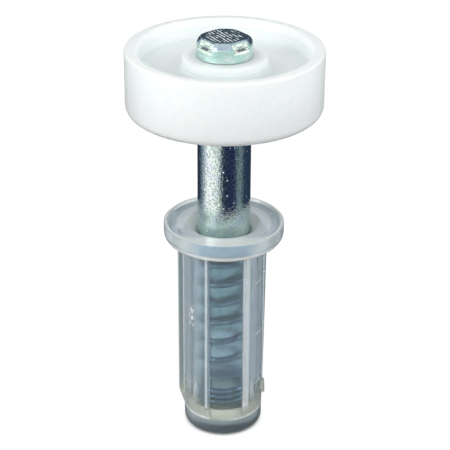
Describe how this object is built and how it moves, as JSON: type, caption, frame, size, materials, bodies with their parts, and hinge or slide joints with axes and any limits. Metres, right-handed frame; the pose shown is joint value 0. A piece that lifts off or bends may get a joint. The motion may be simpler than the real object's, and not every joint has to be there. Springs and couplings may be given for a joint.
{
  "type": "spring-loaded bifold door guide roller",
  "caption": "Top guide for a folding door: a white wheel on a steel pin, sprung inside a ribbed, flanged plastic sleeve that presses into the door.",
  "frame": {"origin": "on the axis, at the level of the sleeve's lower rim, with the wheel fully out", "axes": "+Z runs along the pin from the sleeve to the wheel; +X is about five degrees from the rib that carries the gate's stub; -Y is the side seen in front"},
  "size_m": [0.023, 0.023, 0.0513],
  "materials": {
    "clear_plastic": "translucent moulded plastic with a faint blue tint, glossy",
    "spring_steel": "dark drawn spring wire",
    "zinc_steel": "bright zinc plating with a faint blue and violet tint, slightly pitted",
    "white_nylon": "white moulded nylon, satin"
  },
  "bodies": {
    "sleeve": {"sleeve": "clear_plastic", "spring": "spring_steel"},
    "pin": {"pin": "zinc_steel"},
    "wheel": {"wheel": "white_nylon"}
  },
  "joints": [
    {"name": "pin_slide", "type": "slide", "parent": "sleeve", "child": "pin", "axis": [0, 0, -1], "range_m": [0, 0.01], "stiffness_N_per_m": 2500, "deforming": ["spring"]},
    {"name": "wheel_spin", "type": "hinge", "parent": "pin", "child": "wheel", "pos_m": [0, 0, 0.0461], "axis": [0, 0, 1], "continuous": true}
  ]
}
